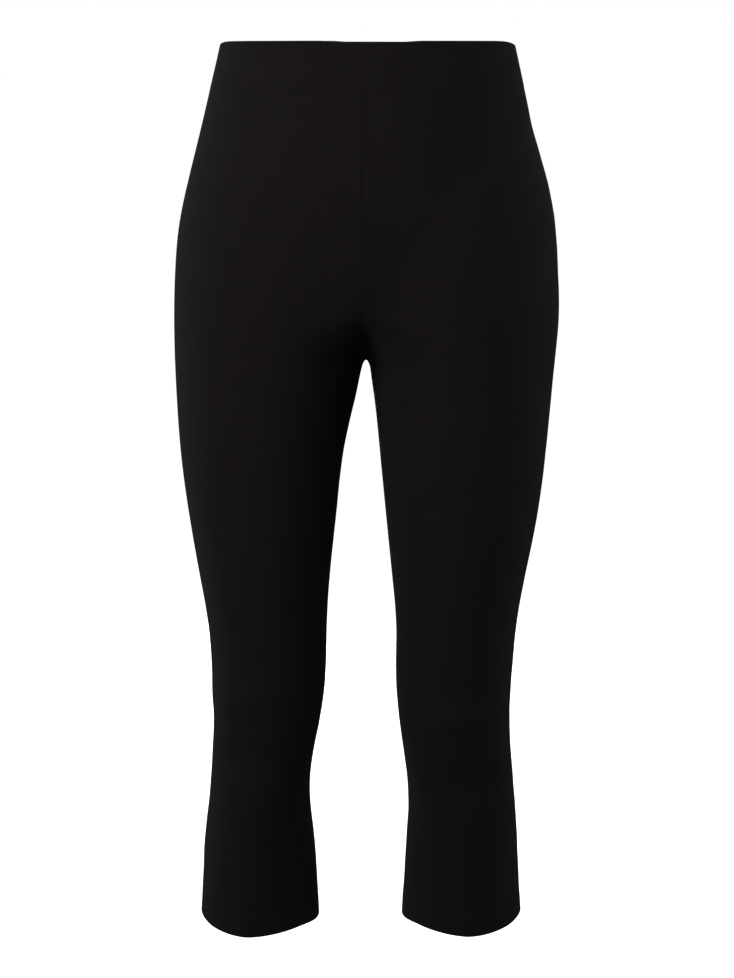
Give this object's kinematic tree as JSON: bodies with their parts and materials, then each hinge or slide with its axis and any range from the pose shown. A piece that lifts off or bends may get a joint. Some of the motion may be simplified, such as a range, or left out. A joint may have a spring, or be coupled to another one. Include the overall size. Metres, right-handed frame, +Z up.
{
  "type": "capri pants",
  "caption": "Slim pull-on capri pants in plain black stretch jersey, worn shape: hollow, high waistband, tapered legs that flare a little below the knee, turned-up hems.",
  "frame": {"origin": "the middle of the waist opening, halfway up the waistband", "axes": "+Z up along the body, -Y the front of the garment, +X the wearer's left"},
  "size_m": [0.3437, 0.2351, 0.806],
  "materials": {
    "jersey": "dyed double-knit stretch jersey, black, smooth face with a slight sheen",
    "jersey_band": "the same jersey, folded double for the waistband"
  },
  "bodies": {
    "root": {"front_right": "jersey", "front_left": "jersey", "back_right": "jersey", "back_left": "jersey", "waistband_front": "jersey_band", "waistband_back": "jersey_band"}
  },
  "joints": []
}
